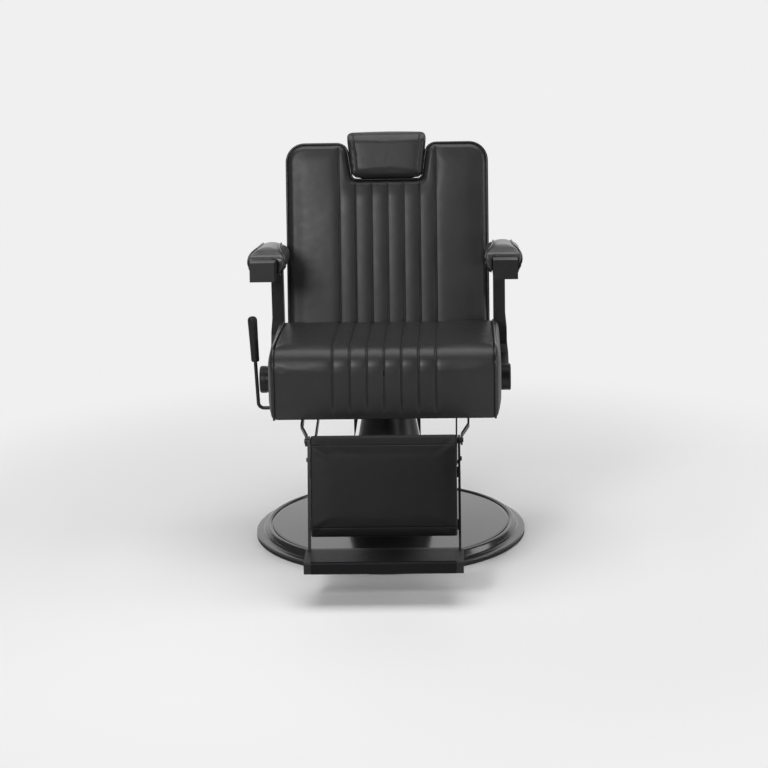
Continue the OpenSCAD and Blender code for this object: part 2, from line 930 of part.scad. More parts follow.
module strut_cylinder() {
    color("#1a1a1a")
        on_strut() {
            translate([20, 0, 0]) rotate([0, 90, 0]) difference() {
                cylinder(d = strut_d, h = strut_len - 88);
                translate([0, 0, 20]) cylinder(d = 10 + 2 * RUN, h = strut_len);
            }
            difference() {
                union() {
                    rotate([90, 0, 0]) cylinder(d = 18, h = 12, center = true);
                    translate([0, -5, -6]) cube([21, 10, 12]);
                }
                rotate([90, 0, 0]) cylinder(d = 8 + 2 * RUN, h = 20, center = true);
            }
        }
    color("#88888b")
        x_rod(strut_front, strut_x - 14, strut_x + 14, 7.8);
}

module strut_rod() {
    color("#c3c4c7")
        on_strut()
            difference() {
                union() {
                    translate([80, 0, 0]) rotate([0, 90, 0]) cylinder(d = 10, h = strut_len - 90);
                    translate([strut_len, 0, 0]) rotate([90, 0, 0]) cylinder(d = 26, h = 8, center = true);
                }
                translate([strut_len, 0, 0]) rotate([90, 0, 0]) cylinder(d = 16, h = 20, center = true);
            }
}

// ---------------------------------------------------------------- leg rest

// Places children in the leg rest's own frame: z down the bars is negative, y is behind them
module leg_frame() {
    translate([0, pivot[0], pivot[1]])
        rotate([-leg_lean, 0, 0]) children();
}

module hangers() {
    f = [-leg_pivot_y, leg_pivot_z];
    joggle_rear = -leg_pivot_y + 90;
    joggle_front = -leg_pivot_y + 28;
    color("#232325")
        both()
            difference() {
                union() {
                    across(hanger_rear_x, hanger_rear_x + hanger_t)
                        polygon([[-150, rail_z], [-222, rail_z], [-246, seat_bottom_z - 2],
                            [joggle_rear, f[1] + 17], [joggle_rear, f[1] + 7], [-238, f[1] - 1],
                            [-150, f[1] + 26]]);
                    hull() {
                        translate([hanger_rear_x, joggle_rear, f[1] + 7]) cube([hanger_t, 0.1, 10]);
                        translate([hanger_x, joggle_front, f[1] - 1]) cube([hanger_t, 0.1, 10]);
                    }
                    across(hanger_x, hanger_x + hanger_t) {
                        translate(f) circle(d = 25);
                        polygon([[joggle_front + 0.1, f[1] + 9], [joggle_front + 0.1, f[1] - 1],
                            [f[0], f[1] - 12], [f[0], f[1] + 12]]);
                    }
                }
                x_rod(f, hanger_x - 1, hanger_x + hanger_t + 1, shaft_d);
            }
}

module pivot_shaft() {
    x_end = hanger_x + hanger_t;
    color("#2a2a2c") {
        x_rod(pivot, -x_end, x_end, shaft_d);
        both() x_rod(pivot, x_end, x_end + 2, 11);
    }
}

module leg_bar() {
    color("#222224")
        difference() {
            union() {
                leg_frame()
                    translate([leg_in, 0, 0]) {
                        rotate([0, 90, 0]) cylinder(d = leg_bar_d, h = leg_bar_t);
                        translate([0, -leg_bar_d / 2, -leg_len]) cube([leg_bar_t, leg_bar_d, leg_len]);
                        translate([0, 0, -leg_len]) rotate([0, 90, 0]) cylinder(d = leg_bar_d, h = leg_bar_t);
                    }
                across(leg_in, leg_out) strap(pivot_crank, pivot_crank + [-12, 4], 24);
            }
            x_rod(pivot, leg_in - 1, leg_out + 1, shaft_d + 2 * RUN);
            x_rod(pivot_crank, leg_in - 1, leg_out + 1, 10);
        }
}

module leg_bars() {
    both() leg_bar();
}

// Flat bars between the leg bars that carry the calf board
module calf_rails() {
    color("#222224")
        leg_frame()
            for (s = [78, 205])
                translate([-leg_in, -calf_board_n, -s - 13]) cube([2 * leg_in, 4, 26]);
}

module foot_rail() {
    color("#222224")
        translate([-leg_in, -foot_rear + 0.2, foot_z - foot_slab])
            cube([2 * leg_in, 13, foot_slab - 2]);
}

module leg_pins() {
    color("#88888b")
        both() {
            x_rod(pivot_crank, link_x - link_t, leg_out, 10);
            x_rod(pivot_crank, link_x - link_t - 3, link_x - link_t / 2 - 0.5, 16);
            leg_frame()
                translate([leg_out, 0, -45]) rotate([0, 90, 0]) cylinder(d = 11, h = 3.5);
        }
}

module calf_board() {
    color("#2a2622")
        leg_frame()
            translate([-calf_half + 8, -calf_board_n - calf_board_t, calf_top - calf_len + 40])
                cube([2 * calf_half - 16, calf_board_t, calf_len - 58]);
}

module calf_cushion() {
    back_n = calf_board_n + calf_board_t + 0.1;
    front_n = calf_face;
    top = -calf_top;
    low = top - calf_len;
    bevel = front_n - back_n - 8;
    color("#1c1c1d")
        leg_frame()
            across(-calf_half, calf_half)
                polygon([[-back_n, top - 2], [-back_n - 8, top], [-front_n, top - 25],
                    [-front_n, low + 22], [-back_n - 8, low], [-back_n, low + 2]]);
}

// Extrusion profile of the footplate: ribbed slab, deep front lip, hollow nose
module foot_profile() {
    pitch = (foot_depth - 16) / foot_ribs;
    difference() {
        union() {
            polygon(concat([[-foot_rear, foot_z - foot_slab + 2]],
                arc([-foot_rear - 3, foot_z - 4.5], 3, 0, 90, 4),
                arc([-foot_front + 5, foot_z - 6.5], 5, 90, 180, 5),
                arc([-foot_front + 3, foot_z - foot_lip + 3], 3, 180, 270, 4),
                [[-foot_front + 26, foot_z - foot_lip], [-foot_front + 32, foot_z - foot_slab],
                    [-foot_rear - 2, foot_z - foot_slab]]));
            for (i = [0:foot_ribs - 1])
                translate([-foot_front + 9 + i * pitch, foot_z - 2]) square([pitch * 0.55, 2]);
        }
        polygon([[-foot_front + 4, foot_z - foot_lip + 4], [-foot_front + 4, foot_z - 6],
            [-foot_front + 22, foot_z - 6], [-foot_front + 22, foot_z - foot_lip + 4]]);
        translate([-foot_front + 29, foot_z - foot_slab + 4])
            square([foot_depth - 34, foot_slab - 9]);
    }
}

module footplate() {
    half = foot_half - foot_cap_w;
    color("#262628")
        across(-half, half) foot_profile();
}

module foot_caps() {
    color("#19191a")
        both()
            difference() {
                across(foot_half - foot_cap_w + 0.1, foot_half)
                    polygon(concat([[-foot_rear, foot_z - foot_slab]],
                        arc([-foot_rear - 4, foot_z - 3.5], 4, 0, 90, 4),
                        arc([-foot_front + 6, foot_z - 5.5], 6, 90, 180, 5),
                        arc([-foot_front + 4, foot_z - foot_lip + 4], 4, 180, 270, 4),
                        [[-foot_front + 26, foot_z - foot_lip], [-foot_front + 32, foot_z - foot_slab]]));
                translate([leg_in - 0.4, -foot_rear - 18, foot_z - foot_slab - 5])
                    cube([leg_bar_t + 0.8, 30, foot_slab + 10]);
            }
}

// ---------------------------------------------------------------- recline lever

module lever_bracket() {
    color("#2f2f31")
        for (x = [-rail_in - 16, -137])
            difference() {
                across(x - 5, x)
                    hull() {
                        translate([-lever_y - 9, rail_z - 1]) square([27, 1]);
                        translate([-lever_y, lever_z]) circle(d = 19, $fn = HULL_FN);
                    }
                x_rod([-lever_y, lever_z], x - 6, x + 1, lever_d + 2 * RUN);
            }
}

module lever_rod() {
    color("#1f1f20") {
        x_rod([-lever_y, lever_z], -lever_out_x + lever_bend, strut_x - 20, lever_d);
        translate([-lever_out_x + lever_bend, -lever_y, lever_z + lever_bend])
            rotate([90, 0, 0])
                rotate([0, 0, 180])
                    rotate_extrude(angle = 90) translate([lever_bend, 0]) circle(d = lever_d);
        translate([-lever_out_x, -lever_y, lever_z + lever_bend])
            rotate([0, -2.2, 0]) cylinder(d = lever_d, h = lever_len - lever_bend - 8);
        across(strut_x - 24, strut_x - 18) strap([-lever_y, lever_z], [-lever_y + 36, lever_z - 4], 11);
    }
}

module lever_grip() {
    color("#101010")
        translate([-lever_out_x, -lever_y, lever_z + lever_bend])
            rotate([0, -2.2, 0])
                translate([0, 0, lever_len - lever_bend - grip_len])
                    difference() {
                        rotate_extrude()
                            polygon(concat([[0, 0], [9, 0], [10.2, 3], [11, 60], [12, grip_len - 14]],
                                arc([2, grip_len - 10], 10, 0, 90, 5), [[0, grip_len]]));
                        translate([0, 0, -1]) cylinder(d = lever_d + 0.1, h = grip_len - 7);
                    }
}

// ---------------------------------------------------------------- assembly

base_gasket();
base_plate();
base_cover();
pump_body();
pump_bolts();
pump_gland();
column_skirt();
pedal_pin();
pedal_arm();
pedal_tread();
pump_plunger();
ram();
ram_retainer();
thrust_bearing();
swivel_housing();
top_plate();
top_plate_bolts();
seat_rails();
cross_front();
cross_rear();
seat_board();
seat_cushion();
seat_sides();
hub_spacers();
arm_left();
arm_right();
hub_bolts();
hub_caps();
arm_boxes();
box_caps();
arm_pad_left();
arm_pad_right();
hinge_pins();
hangers();
pivot_shaft();
lever_bracket();
lever_rod();
lever_grip();
strut_cylinder();
strut_rod();
back_tube();
back_sides();
crank_pins();
back_board();
back_cushion();
back_cover();
head_guide();
head_stem();
head_cushion();
link_left();
link_right();
leg_bars();
calf_rails();
foot_rail();
leg_pins();
calf_board();
calf_cushion();
footplate();
foot_caps();
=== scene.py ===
"""Hydraulic barber chair: upholstery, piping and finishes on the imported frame."""

import json
import math

import bmesh
import bpy
import numpy as np
from bpy.props import FloatProperty, FloatVectorProperty, IntProperty, PointerProperty
from mathutils import Matrix, Vector
from mathutils.bvhtree import BVHTree
from mathutils.kdtree import KDTree


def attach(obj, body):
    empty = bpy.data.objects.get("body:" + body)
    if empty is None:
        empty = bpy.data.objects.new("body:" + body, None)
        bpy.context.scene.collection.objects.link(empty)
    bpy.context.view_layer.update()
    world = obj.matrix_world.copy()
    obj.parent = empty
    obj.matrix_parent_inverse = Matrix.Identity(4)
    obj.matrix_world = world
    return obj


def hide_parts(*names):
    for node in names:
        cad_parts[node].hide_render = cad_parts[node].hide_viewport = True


bl_info = {
    "name": "Barber chair builder",
    "version": (1, 0, 0),
    "blender": (4, 5, 0),
    "location": "3D View > Sidebar > Barber chair",
    "description": "Dresses the packed barber chair frame with upholstery, piping and finishes",
    "category": "Object",
}

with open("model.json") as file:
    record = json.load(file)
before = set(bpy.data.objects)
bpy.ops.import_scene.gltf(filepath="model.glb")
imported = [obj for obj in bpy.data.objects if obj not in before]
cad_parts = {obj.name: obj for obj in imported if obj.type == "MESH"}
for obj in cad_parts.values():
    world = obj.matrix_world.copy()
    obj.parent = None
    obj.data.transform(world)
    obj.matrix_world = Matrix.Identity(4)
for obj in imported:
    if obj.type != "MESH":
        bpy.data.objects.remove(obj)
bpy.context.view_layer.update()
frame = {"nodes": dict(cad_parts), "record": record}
MM = 0.001


# ------------------------------------------------------------------ shader nodes


class Value:
    """A shader socket that takes part in Python arithmetic."""

    def __init__(self, nodes, socket):
        self.nodes = nodes
        self.socket = socket

    def _maths(self, operation, first, second):
        node = self.nodes.add("Math", {"operation": operation}, {0: first, 1: second})
        return Value(self.nodes, node.outputs[0])

    def __add__(self, other):
        return self._maths("ADD", self, other)

    __radd__ = __add__

    def __mul__(self, other):
        return self._maths("MULTIPLY", self, other)

    def __sub__(self, other):
        return self._maths("SUBTRACT", self, other)

    def __rsub__(self, other):
        return self._maths("SUBTRACT", other, self)

    def __truediv__(self, other):
        return self._maths("DIVIDE", self, other)

    def largest(self, other):
        return self._maths("MAXIMUM", self, other)


class Nodes:
    """The node tree of one material or of the world."""

    def __init__(self, owner):
        owner.use_nodes = True
        self.tree = owner.node_tree
        self.tree.nodes.clear()

    def put(self, socket, value):
        """Sets a socket to a number or colour, or links another socket to it."""
        if isinstance(value, Value):
            value = value.socket
        if isinstance(value, bpy.types.NodeSocket):
            self.tree.links.new(value, socket)
        else:
            socket.default_value = value

    def add(self, kind, settings=None, sockets=None):
        """Makes a node, applies its settings, then fills its sockets."""
        node = self.tree.nodes.new("ShaderNode" + kind)
        for key, value in (settings or {}).items():
            if key == "stops":
                ramp = node.color_ramp
                while len(ramp.elements) < len(value):
                    ramp.elements.new(0.5)
                for element, (position, level) in zip(ramp.elements, value):
                    element.position = position
                    element.color = (level, level, level, 1)
            else:
                setattr(node, key, value)
        for key, value in (sockets or {}).items():
            self.put(node.inputs[key], value)
        return node

    def value(self, kind, settings=None, sockets=None, output=0):
        """Makes a node and returns one of its outputs, ready for arithmetic."""
        return Value(self, self.add(kind, settings, sockets).outputs[output])

    def place(self):
        """The place on the object, in metres."""
        return self.add("TexCoord").outputs["Object"]

    def stretched(self, scale):
        """The place, scaled along each axis of its own."""
        return self.add("Mapping", None, {"Vector": self.place(), "Scale": scale}).outputs[0]

    def noise(self, place, scale, detail):
        return self.value("TexNoise", None, {"Vector": place, "Scale": scale, "Detail": detail})

    def blend(self, factor, first, second):
        """A colour between two others."""
        node = self.add("Mix", {"data_type": "RGBA"}, {0: factor, 6: first, 7: second})
        return node.outputs[2]

    def ramp(self, factor, *stops):
        """A grey that changes between (position, level) stops."""
        return self.value("ValToRGB", {"stops": stops}, {0: factor})

    def bump(self, height, strength, distance, normal=None):
        sockets = {"Height": height, "Strength": strength, "Distance": distance}
        if normal is not None:
            sockets["Normal"] = normal
        return self.add("Bump", None, sockets).outputs[0]

    def surface(self, sockets):
        self.finish("OutputMaterial", self.add("BsdfPrincipled", None, sockets))

    def mixed(self, factor, first, second):
        """A shader between two others."""
        return self.add("MixShader", None, {0: factor, 1: first.outputs[0], 2: second.outputs[0]})

    def finish(self, kind, shader):
        """Links a shader to the tree's output node."""
        self.tree.links.new(shader.outputs[0], self.add(kind).inputs[0])


def shade(colour, factor):
    """A colour made lighter or darker, with full alpha."""
    return tuple(min(1.0, channel * factor) for channel in colour[:3]) + (1.0,)


def new_material(name):
    material = bpy.data.materials.new(name)
    return material, Nodes(material)


# ------------------------------------------------------------------ finishes


def leathercloth(name, colour, rough, grain=1.0, shine=0.32):
    """Coated cloth: pebbled grain, soft mottling and a rubbed-in variation of gloss."""
    material, n = new_material(name)
    place = n.place()
    pebble = n.value("TexVoronoi", {"feature": "DISTANCE_TO_EDGE"},
                     {"Vector": place, "Scale": 620 / grain})
    pores = n.noise(place, 1500 / grain, 2.0)
    clouds = n.noise(place, 9.0, 4.0)
    rubs = n.noise(place, 42.0, 3.0)
    waves = n.noise(place, 26.0, 2.0)
    cracks = n.ramp(pebble, (0.0, 0.0), (0.12, 1.0))
    tone = n.blend(clouds, shade(colour, 0.75), shade(colour, 1.3))
    skin = n.blend(cracks * 0.6 + 0.4, shade(colour, 0.7), tone)
    grain_bump = n.bump(cracks + pores * 0.5, 0.2, 0.0001 * grain)
    normal = n.bump(waves, 0.22, 0.002, grain_bump)
    n.surface({
        "Base Color": skin,
        "Roughness": rough + (clouds - 0.5) * 0.12 + (rubs - 0.5) * 0.1,
        "Specular IOR Level": shine,
        "Normal": normal,
    })
    return material


def enamel(name, colour, rough, orange_peel=0.2, coat=0.0, shine=0.5):
    """Paint on metal: slight orange peel, faint wipe marks in the gloss."""
    material, n = new_material(name)
    place = n.place()
    peel = n.noise(place, 320.0, 2.0)
    wipes = n.noise(n.stretched((3, 14, 6)), 4.0, 5.0)
    dust = n.noise(place, 60.0, 6.0)
    tone = n.blend(dust, shade(colour, 0.88), shade(colour, 1.15))
    n.surface({
        "Base Color": tone,
        "Roughness": rough + (wipes - 0.5) * 0.1 + (dust - 0.5) * 0.06,
        "Specular IOR Level": shine,
        "Coat Weight": coat,
        "Coat Roughness": 0.08,
        "Normal": n.bump(peel, orange_peel, 0.0004),
    })
    return material


def moulded_plastic(name, colour, rough):
    """Moulded plastic or rubber with a spark-eroded grain."""
    material, n = new_material(name)
    place = n.place()
    spark = n.noise(place, 1900.0, 3.0)
    scuffs = n.noise(place, 75.0, 5.0)
    n.surface({
        "Base Color": n.blend(scuffs, shade(colour, 0.85), shade(colour, 1.25)),
        "Roughness": rough + (scuffs - 0.5) * 0.14,
        "Specular IOR Level": 0.3,
        "Normal": n.bump(spark, 0.2, 0.0003),
    })
    return material


def machined_metal(name, colour, rough, lay=(30, 30, 900)):
    """Turned or drawn metal with fine tool marks along its lay."""
    material, n = new_material(name)
    marks = n.noise(n.stretched(lay), 1.0, 3.0)
    tarnish = n.noise(n.place(), 35.0, 4.0)
    n.surface({
        "Base Color": n.blend(tarnish, shade(colour, 0.82), shade(colour, 1.1)),
        "Metallic": 1.0,
        "Roughness": rough + (marks - 0.5) * 0.12 + (tarnish - 0.5) * 0.1,
        "Normal": n.bump(marks, 0.12, 0.0002),
    })
    return material


def worn_highlit_tread(name, colour, crest, crest_band=1.6 * MM):
    """Dark anodised alloy, brighter on its ribs, which end at the height of the crest: partly wear, partly
    a painted highlight.
    """
    material, n = new_material(name)
    split = n.add("SeparateXYZ", None, {0: n.place()})
    height = Value(n, split.outputs[2])
    marks = n.noise(n.stretched((4, 500, 500)), 1.0, 3.0)
    scuffs = n.noise(n.place(), 40.0, 5.0)
    wear_and_highlight = n.ramp((height - (crest - crest_band)) / crest_band, (0.25, 0.0), (0.8, 1.0))
    n.surface({
        # The rib crests are painted brighter: partly wear, partly a painted highlight that picks out the
        # ribs
        "Base Color": n.blend(wear_and_highlight * (scuffs * 0.6 + 0.5), shade(colour, 0.3), shade(colour, 1.5)),
        "Metallic": 1.0,
        "Roughness": 0.52 - wear_and_highlight * 0.16 + (marks - 0.5) * 0.12,
        "Normal": n.bump(marks, 0.12, 0.0002),
    })
    return material


def cast_iron(name, colour):
    """Sand-cast iron, rough and patchy."""
    material, n = new_material(name)
    sand = n.noise(n.place(), 420.0, 5.0)
    patches = n.noise(n.place(), 30.0, 4.0)
    n.surface({
        "Base Color": n.blend(patches, shade(colour, 0.75), shade(colour, 1.2)),
        "Metallic": 0.7,
        "Roughness": 0.62 + (patches - 0.5) * 0.15,
        "Normal": n.bump(sand, 0.4, 0.0008),
    })
    return material


def plywood(name, colour):
    """Sheet plywood: long grain on the faces and plies along the thickness."""
    material, n = new_material(name)
    place = n.stretched((6, 60, 60))
    grain = n.noise(place, 4.0, 6.0)
    plies = n.value("TexWave", {"bands_direction": "Z"}, {"Vector": n.place(), "Scale": 110.0})
    tone = n.blend(grain, shade(colour, 0.72), shade(colour, 1.15))
    n.surface({
        "Base Color": n.blend(plies * 0.25, tone, shade(colour, 0.55)),
        "Roughness": 0.62 + (grain - 0.5) * 0.15,
        "Normal": n.bump(grain, 0.15, 0.0004),
    })
    return material


# ------------------------------------------------------------------ mesh helpers


def new_mesh(name, bm, material):
    """Turns a bmesh into a mesh with one material."""
    mesh = bpy.data.meshes.new(name)
    bm.to_mesh(mesh)
    bm.free()
    mesh.materials.append(material)
    return mesh


def new_object(name, data):
    """An object that is linked into the scene."""
    made = bpy.data.objects.new(name, data)
    bpy.context.scene.collection.objects.link(made)
    return made


def finish_piece(bm, name, body, material):
    """Turns a bmesh into a smooth object that rides on a body of the frame."""
    mesh = new_mesh(name, bm, material)
    mesh.shade_smooth()
    piece = new_object(name, mesh)
    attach(piece, body)
    return piece


def node_copy(node):
    """A merged copy of a CAD node's mesh."""
    bm = bmesh.new()
    bm.from_mesh(frame["nodes"][node].data)
    bmesh.ops.remove_doubles(bm, verts=bm.verts, dist=1e-5)
    bmesh.ops.recalc_face_normals(bm, faces=bm.faces)
    return bm


def islands(bm):
    """The vertex sets of a bmesh's separate shells."""
    left = set(bm.verts)
    found = []
    while left:
        seed = left.pop()
        group, stack = {seed}, [seed]
        while stack:
            for edge in stack.pop().link_edges:
                for vert in edge.verts:
                    if vert in left:
                        left.discard(vert)
                        group.add(vert)
                        stack.append(vert)
        found.append(group)
    return found


def keep_side(bm, side):
    """Keeps the shells on one side of the middle plane."""
    for group in islands(bm):
        middle = sum(v.co.x for v in group) / len(group)
        if middle * side < 0:
            bmesh.ops.delete(bm, geom=list(group), context="VERTS")
    return bm


def bake_modifiers(piece):
    """Turns what the modifiers make into the object's own mesh."""
    graph = bpy.context.evaluated_depsgraph_get()
    mesh = bpy.data.meshes.new_from_object(piece.evaluated_get(graph))
    piece.modifiers.clear()
    piece.data = mesh


def coordinates(mesh):
    """The places of a mesh's vertices, one row each."""
    flat = np.empty(len(mesh.vertices) * 3)
    mesh.vertices.foreach_get("co", flat)
    return flat.reshape(-1, 3)


def normals(mesh):
    """The normals at a mesh's vertices, one row each."""
    flat = np.empty(len(mesh.vertices) * 3)
    mesh.vertex_normals.foreach_get("vector", flat)
    return flat.reshape(-1, 3)


def move_to(mesh, places):
    """Puts a mesh's vertices in their new places."""
    mesh.vertices.foreach_set("co", places.astype(np.float32).ravel())
    mesh.update()


def ease(t):
    """A smooth step from 0 to 1."""
    t = np.clip(t, 0.0, 1.0)
    return t * t * (3 - 2 * t)


def search_tree(points):
    """A tree that finds the nearest of some points."""
    tree = KDTree(len(points))
    for i, point in enumerate(points):
        tree.insert(point, i)
    tree.balance()
    return tree


def rim_distance(places, soft):
    """How far each vertex lies from the nearest one that belongs to the stiff border."""
    tree = search_tree(places[~soft])
    return np.array([tree.find(p)[2] if s else 0.0 for p, s in zip(places, soft)])


def plump(piece, voxel, pressure, cap, facing, border, crown=0.0, frames=20, fillet=0.0):
    """Stuffs a cushion: remesh, blow it up as cloth, and keep what its cover allows.

    facing(normals) says which side is upholstered, border is the width over which
    the cover is held down beside the piping, cap is the furthest it may swell,
    crown is how far the middle is raised besides, and fillet is the radius over
    which the foam rolls down to the piping.
    """
    remesh = piece.modifiers.new("Cover", "REMESH")
    remesh.mode = "VOXEL"
    remesh.voxel_size = voxel
    bake_modifiers(piece)
    rest = coordinates(piece.data)
    out = normals(piece.data)
    soft = facing(out)
    depth = rim_distance(rest, soft)
    free = ease(depth / border)
    swell = np.zeros_like(rest)
    held = piece.vertex_groups.new(name="held")
    held.add([int(i) for i in np.nonzero(free < 0.02)[0]], 1.0, "REPLACE")
    cloth = piece.modifiers.new("Stuffing", "CLOTH")
    cover = cloth.settings
    cover.quality = 3
    cover.mass = 0.25
    cover.tension_stiffness = 12
    cover.compression_stiffness = 12
    cover.bending_stiffness = 0.4
    cover.use_pressure = True
    cover.uniform_pressure_force = pressure
    cover.effector_weights.gravity = 0
    cover.vertex_group_mass = "held"
    cloth.point_cache.frame_start = 1
    cloth.point_cache.frame_end = frames
    scene = bpy.context.scene
    for step in range(1, frames + 1):
        scene.frame_set(step)
    graph = bpy.context.evaluated_depsgraph_get()
    blown = coordinates(piece.evaluated_get(graph).data)
    piece.modifiers.clear()
    piece.vertex_groups.clear()
    swell = blown - rest
    scene.frame_set(1)
    size = np.linalg.norm(swell, axis=1)[:, None]
    swell = swell * (cap * np.tanh(size / cap) / np.maximum(size, 1e-9))
    lift = crown * ease(depth / (border * 2.2)) * soft
    if fillet:
        short = np.clip(1 - depth / fillet, 0, 1)
        lift = lift - fillet * (1 - np.sqrt(1 - short ** 2)) * soft * 0.9
    swell = swell * free[:, None] + out * lift[:, None]
    move_to(piece.data, rest + swell)
    smooth = piece.modifiers.new("Fine", "SUBSURF")
    smooth.levels = smooth.render_levels = 1
    bake_modifiers(piece)


def seen_from(place, points):
    """Points in the frame of a place."""
    return (points - np.array(place.translation)) @ np.array(place.to_3x3())


def roll_edge(piece, place, outline, radius, thickness):
    """Rolls a cushion's front over towards its piping, and squeezes its side to suit."""
    tree = search_tree(even([(x, 0, z) for x, z in outline], 2 * MM, True))
    local = seen_from(place, coordinates(piece.data))
    inside = np.array([tree.find((x, 0, z))[2] for x, _, z in local])
    short = np.clip(1 - inside / radius, 0, 1)
    drop = radius * (1 - np.sqrt(1 - short ** 2))
    local[:, 1] += drop * (1 - np.clip(local[:, 1], 0, thickness) / thickness)
    move_to(piece.data, local @ np.array(place.to_3x3()).T + np.array(place.translation))


def score(piece, planes, width=4.5 * MM):
    """Cuts a mesh along each seam plane, so that a seam gets edges of its own."""
    bm = bmesh.new()
    bm.from_mesh(piece.data)
    for point, normal in planes:
        for offset in (-width, -width * 0.3, 0.0, width * 0.3, width):
            geometry = bm.verts[:] + bm.edges[:] + bm.faces[:]
            bmesh.ops.bisect_plane(bm, geom=geometry, dist=1e-5, plane_no=normal,
                                   plane_co=Vector(point) + Vector(normal) * offset)
    bm.to_mesh(piece.data)
    bm.free()


def press_seam(places, out, distance, mask, depth, sharp=1.5 * MM, roll=9 * MM):
    """A stitched valley: a sharp line with the cover rolling down to it on both sides."""
    valley = np.exp(-((distance / sharp) ** 2)) * 0.45 + np.exp(-np.abs(distance) / roll) * 0.55
    return places - out * (depth * valley * mask)[:, None]


def sew(piece, planes, mask, depth):
    """Scores a cover along each (point, normal) plane and presses a valley there.

    mask(places, normals) says how much of the depth each vertex takes.
    """
    score(piece, planes)
    places = coordinates(piece.data)
    out = normals(piece.data)
    share = mask(places, out)
    for point, normal in planes:
        distance = (places - np.array(point)) @ np.array(normal)
        places = press_seam(places, out, distance, share, depth)
    move_to(piece.data, places)
    piece.data.shade_smooth()


def tube(name, path, radius, closed, body, material, sides=10):
    """A welt swept along a path of points."""
    path = [Vector(p) for p in path]
    count = len(path)
    bm = bmesh.new()
    rings = []
    up = None
    for i, point in enumerate(path):
        ahead = path[(i + 1) % count] if closed or i < count - 1 else point
        behind = path[i - 1] if closed or i > 0 else point
        along = (ahead - behind).normalized()
        if up is None:
            up = along.orthogonal().normalized()
        side = along.cross(up).normalized()
        up = side.cross(along).normalized()
        turn = Matrix((side, up, along)).transposed().to_4x4()
        ring = bmesh.ops.create_circle(bm, segments=sides, radius=radius,
                                       matrix=Matrix.Translation(point) @ turn)["verts"]
        rings.append(list({edge for vert in ring for edge in vert.link_edges}))
    for i in range(count if closed else count - 1):
        bmesh.ops.bridge_loops(bm, edges=rings[i] + rings[(i + 1) % count])
    if not closed:
        for ring in (rings[0], rings[-1]):
            bmesh.ops.contextual_create(bm, geom=ring)
    bmesh.ops.recalc_face_normals(bm, faces=bm.faces)
    return finish_piece(bm, name, body, material)


def pipe(name, path, radius, closed, body):
    """Piping of leathercloth along a path; its cover is painted darker than the cushions', as painted
    shade in the creases beside it.
    """
    tube(name, path, radius, closed, body, finish_of("piping_leathercloth"))


def lay_on(piece, path, lift):
    """Moves each point of a path to the nearest place of a cover, and off it by lift."""
    mesh = piece.data
    tree = BVHTree.FromPolygons([v.co for v in mesh.vertices], [p.vertices for p in mesh.polygons])
    laid = []
    for point in path:
        place, normal = tree.find_nearest(Vector(point))[:2]
        laid.append(place + normal * lift)
    return laid


def arc(centre, radius, start, end, steps):
    """Points of an arc as pairs, both ends included; its angles are in degrees."""
    turn = [math.radians(start + (end - start) * i / steps) for i in range(steps + 1)]
    return [(centre[0] + radius * math.cos(a), centre[1] + radius * math.sin(a)) for a in turn]


def even(points, step, closed=False):
    """Walks a polyline in even steps."""
    points = [Vector(p) for p in points]
    if closed:
        points = points + points[:1]
    lengths = [(b - a).length for a, b in zip(points, points[1:])]
    total = sum(lengths)
    count = max(2, round(total / step))
    walked, result, i = 0.0, [], 0
    for k in range(count if closed else count + 1):
        target = total * k / count
        while i < len(lengths) - 1 and walked + lengths[i] < target:
            walked += lengths[i]
            i += 1
        t = 0 if lengths[i] == 0 else min(1.0, (target - walked) / lengths[i])
        result.append(points[i].lerp(points[i + 1], t))
    return result


# ------------------------------------------------------------------ places on the chair

LEAN = math.radians(12)
SEAT_LINE = Vector((0, 0.142, 0.530))
LEG_LEAN = math.radians(18)
LEG_PIVOT = Vector((0, -0.385, 0.356))
ARM_FALL = math.radians(6.5)
ARM_FRONT = Vector((0, -0.165, 0.754))
BACK = Matrix.Translation(SEAT_LINE) @ Matrix.Rotation(-LEAN, 4, "X")
LEG = Matrix.Translation(LEG_PIVOT) @ Matrix.Rotation(-LEG_LEAN, 4, "X")
ARM = Matrix.Translation(ARM_FRONT) @ Matrix.Rotation(-ARM_FALL, 4, "X")
ARM_MIDDLE = 0.299
BACK_TOP = 0.464
SEAT_HALF = 0.2735
SEAT_FRONT = -0.290
SEAT_HEIGHT = 0.558
SEAT_ROLL = 0.052
SEAT_TILT = 3.6


def seat_top(y):
    """The height of the seat's top, which falls to the rear from the end of its rolled front."""
    return SEAT_HEIGHT - (y - SEAT_FRONT - SEAT_ROLL) * math.tan(math.radians(SEAT_TILT))


def seat_side_line():
    """The seam between the seat's top and its side, from the front's foot round to the rear."""
    square = 90 - SEAT_TILT
    line = [(-0.289, 0.383)]
    line += arc((SEAT_FRONT + SEAT_ROLL, SEAT_HEIGHT - SEAT_ROLL), SEAT_ROLL, 180, square, 14)
    line += arc((0.122, seat_top(0.118) - 0.013), 0.012, square, 10, 5)
    line.append((0.120, 0.448))
    return line


def back_line(inset=0.0):
    """The backrest's outline in its own plane, as (x, height) pairs, clockwise from the notch."""
    side, top, bottom = 0.2605 - inset, BACK_TOP - inset, -0.056 + inset
    mouth, notch, notch_floor = 0.1035 + inset, 0.095 + inset, 0.370 - inset
    corner, shoulder, small = 0.045 - inset, max(0.026 - inset, 0.004), 0.012
    half = arc((notch - small, notch_floor + small), small, 270, 355, 5)
    half += arc((mouth + shoulder, top - shoulder), shoulder, 178, 90, 8)
    half += arc((side - corner, top - corner), corner, 90, 0, 10)
    half += arc((side - small, bottom + small), small, 0, -90, 4)
    return half + [(-x, z) for x, z in reversed(half)]


# ------------------------------------------------------------------ settings


